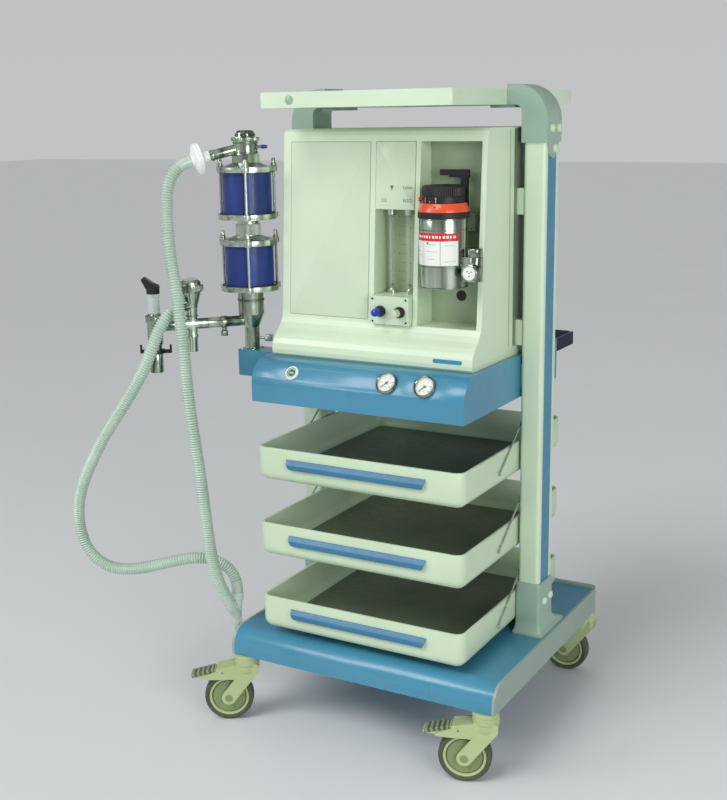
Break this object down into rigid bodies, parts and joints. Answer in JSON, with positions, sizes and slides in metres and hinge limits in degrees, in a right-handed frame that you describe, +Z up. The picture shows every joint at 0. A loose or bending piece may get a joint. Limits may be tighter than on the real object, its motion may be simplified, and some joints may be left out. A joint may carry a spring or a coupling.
{
  "type": "anesthesia machine",
  "caption": "Wheeled veterinary anesthesia machine: two columns with trays, gauge table, flowmeter and vaporizer cabinet, top shelf, circle absorber and breathing hoses.",
  "frame": {"origin": "on the floor under the middle of the box around the machine without its hoses", "axes": "+Z up, +X to the right seen from the front, -Y towards the person who works at the table"},
  "size_m": [1.0558, 0.78, 1.44],
  "materials": {
    "blue_shell": "satin paint",
    "grey_edge": "satin paint",
    "cream_paint": "smooth satin powder coat",
    "cream_tray": "smooth moulded plastic",
    "blue_stripe": "satin strip",
    "grey_cast": "painted casting",
    "cream_cap": "smooth cap",
    "clear_tube": "polished",
    "blue_knob": "ribbed",
    "pale_knob": "ribbed",
    "chrome_metal": "polished",
    "orange_ring": "gloss paint",
    "black_plastic": "fine grain",
    "red_button": "smooth",
    "grey_metal": "satin paint",
    "gauge_white": "printed dial",
    "green_button": "smooth",
    "blue_clear": "polished",
    "steel_rod": "brushed",
    "filter_white": "smooth",
    "relief_clear": "polished",
    "hose_clear": "translucent corrugated",
    "wye_clear": "translucent",
    "castor_cream": "moulded",
    "castor_tyre": "smooth tread"
  },
  "bodies": {
    "frame": {"base_deck": "blue_shell", "base_rim": "grey_edge", "columns": "cream_paint", "column_stripes": "blue_stripe", "column_feet": "grey_cast", "column_elbows": "grey_cast", "dome_screws": "cream_cap", "top_shelf": "cream_paint", "cabinet_shell": "cream_paint", "cabinet_spacers": "cream_paint", "blank_panel": "cream_paint", "flow_panel": "cream_paint", "flow_tubes": "clear_tube", "flow_block": "cream_cap", "vaporizer_mount": "grey_metal", "vaporizer_body": "chrome_metal", "vaporizer_ring": "orange_ring", "table_body": "blue_shell", "table_bezels": "chrome_metal", "gauge_faces": "gauge_white", "absorber_arm": "grey_edge", "upper_tray": "cream_tray", "middle_tray": "cream_tray", "lower_tray": "cream_tray", "tray_handles": "blue_stripe", "tray_stays": "steel_rod"},
    "oxygen_knob": {"oxygen_knob": "blue_knob"},
    "nitrous_knob": {"nitrous_knob": "pale_knob"},
    "vaporizer_dial": {"vaporizer_dial": "black_plastic"},
    "vaporizer_button": {"vaporizer_button": "red_button"},
    "vaporizer_lever": {"vaporizer_lever": "black_plastic"},
    "filler_cap": {"filler_cap": "chrome_metal"},
    "oxygen_needle": {"oxygen_needle": "black_plastic"},
    "nitrous_needle": {"nitrous_needle": "black_plastic"},
    "flush_button": {"flush_button": "green_button"},
    "absorber": {"absorber_neck": "chrome_metal", "canister_plates": "steel_rod", "canister_cylinders": "blue_clear", "tie_rods": "steel_rod", "top_valve": "chrome_metal", "breathing_arm": "chrome_metal", "apl_tube": "relief_clear", "hose_hook": "black_plastic", "disc_filter": "filter_white", "supply_hose": "hose_clear", "return_hose": "hose_clear", "wye_piece": "wye_clear"},
    "apl_knob": {"apl_knob": "black_plastic"},
    "drain_knob": {"drain_knob": "chrome_metal"},
    "clamp_knob": {"clamp_knob": "chrome_metal"},
    "fork_front_left": {"fork_front_left": "castor_cream"},
    "wheel_front_left": {"wheel_front_left": "castor_tyre"},
    "fork_front_right": {"fork_front_right": "castor_cream"},
    "wheel_front_right": {"wheel_front_right": "castor_tyre"},
    "fork_rear_left": {"fork_rear_left": "castor_cream"},
    "wheel_rear_left": {"wheel_rear_left": "castor_tyre"},
    "fork_rear_right": {"fork_rear_right": "castor_cream"},
    "wheel_rear_right": {"wheel_rear_right": "castor_tyre"},
    "brake_left": {"brake_left": "castor_cream"},
    "brake_right": {"brake_right": "castor_cream"}
  },
  "joints": [
    {"name": "oxygen_knob_turn", "type": "hinge", "parent": "frame", "child": "oxygen_knob", "pos_m": [0.10409, -0.19779, 0.976], "axis": [0, -1, 0], "range_deg": [0, 720]},
    {"name": "nitrous_knob_turn", "type": "hinge", "parent": "frame", "child": "nitrous_knob", "pos_m": [0.15009, -0.19779, 0.976], "axis": [0, -1, 0], "range_deg": [0, 720]},
    {"name": "vaporizer_dial_turn", "type": "hinge", "parent": "frame", "child": "vaporizer_dial", "pos_m": [0.25109, -0.19579, 1.224], "axis": [0, 0, 1], "range_deg": [0, 200]},
    {"name": "vaporizer_button_push", "type": "slide", "parent": "vaporizer_dial", "child": "vaporizer_button", "axis": [0.8746, 0.4848, 0], "range_m": [0, 0.003], "stiffness_N_per_m": 400},
    {"name": "vaporizer_lever_turn", "type": "hinge", "parent": "frame", "child": "vaporizer_lever", "pos_m": [0.27109, -0.13379, 1.2], "axis": [0, 0, 1], "range_deg": [0, 90]},
    {"name": "filler_cap_turn", "type": "hinge", "parent": "frame", "child": "filler_cap", "pos_m": [0.32309, -0.19879, 1.094], "axis": [0, 0, 1], "range_deg": [0, 720]},
    {"name": "oxygen_needle_turn", "type": "hinge", "parent": "frame", "child": "oxygen_needle", "pos_m": [0.16409, -0.28584, 0.84255], "axis": [0, -0.8192, 0.5736], "range_deg": [-270, 0], "stiffness_Nm_per_rad": 0.001},
    {"name": "nitrous_needle_turn", "type": "hinge", "parent": "frame", "child": "nitrous_needle", "pos_m": [0.25209, -0.28584, 0.84255], "axis": [0, -0.8192, 0.5736], "range_deg": [-270, 0], "stiffness_Nm_per_rad": 0.001},
    {"name": "flush_button_push", "type": "slide", "parent": "frame", "child": "flush_button", "axis": [0, 0.8192, -0.5736], "range_m": [0, 0.003], "stiffness_N_per_m": 400},
    {"name": "absorber_swing", "type": "hinge", "parent": "frame", "child": "absorber", "pos_m": [-0.24191, -0.18079, 0.887], "axis": [0, 0, 1], "range_deg": [-60, 6]},
    {"name": "relief_valve_turn", "type": "hinge", "parent": "absorber", "child": "apl_knob", "pos_m": [-0.38777, -0.34682, 1.004], "axis": [0, 0, 1], "range_deg": [-270, 0]},
    {"name": "drain_knob_turn", "type": "hinge", "parent": "absorber", "child": "drain_knob", "pos_m": [-0.28415, -0.22887, 0.911], "axis": [0, 0, 1], "range_deg": [0, 720]},
    {"name": "clamp_knob_turn", "type": "hinge", "parent": "absorber", "child": "clamp_knob", "pos_m": [-0.24191, -0.18079, 0.89], "axis": [0.9272, 0.3746, 0], "range_deg": [0, 720]},
    {"name": "swivel_front_left", "type": "hinge", "parent": "frame", "child": "fork_front_left", "pos_m": [-0.21691, -0.28779, 0.162], "axis": [0, 0, 1], "continuous": true},
    {"name": "spin_front_left", "type": "hinge", "parent": "fork_front_left", "child": "wheel_front_left", "pos_m": [-0.25415, -0.30929, 0.0575], "axis": [-0.5, 0.866, 0], "continuous": true},
    {"name": "swivel_front_right", "type": "hinge", "parent": "frame", "child": "fork_front_right", "pos_m": [0.39309, -0.28779, 0.162], "axis": [0, 0, 1], "continuous": true},
    {"name": "spin_front_right", "type": "hinge", "parent": "fork_front_right", "child": "wheel_front_right", "pos_m": [0.35219, -0.30108, 0.0575], "axis": [-0.309, 0.9511, 0], "continuous": true},
    {"name": "swivel_rear_left", "type": "hinge", "parent": "frame", "child": "fork_rear_left", "pos_m": [-0.21691, 0.30921, 0.162], "axis": [0, 0, 1], "continuous": true},
    {"name": "spin_rear_left", "type": "hinge", "parent": "fork_rear_left", "child": "wheel_rear_left", "pos_m": [-0.25991, 0.30921, 0.0575], "axis": [0, 1, 0], "continuous": true},
    {"name": "swivel_rear_right", "type": "hinge", "parent": "frame", "child": "fork_rear_right", "pos_m": [0.39309, 0.30921, 0.162], "axis": [0, 0, 1], "continuous": true},
    {"name": "spin_rear_right", "type": "hinge", "parent": "fork_rear_right", "child": "wheel_rear_right", "pos_m": [0.35009, 0.30921, 0.0575], "axis": [0, 1, 0], "continuous": true},
    {"name": "brake_pedal_left", "type": "hinge", "parent": "fork_front_left", "child": "brake_left", "pos_m": [-0.26541, -0.31579, 0.1213], "axis": [0.5, -0.866, 0], "range_deg": [0, 10]},
    {"name": "brake_pedal_right", "type": "hinge", "parent": "fork_front_right", "child": "brake_right", "pos_m": [0.33983, -0.30509, 0.1213], "axis": [0.309, -0.9511, 0], "range_deg": [0, 10]}
  ]
}
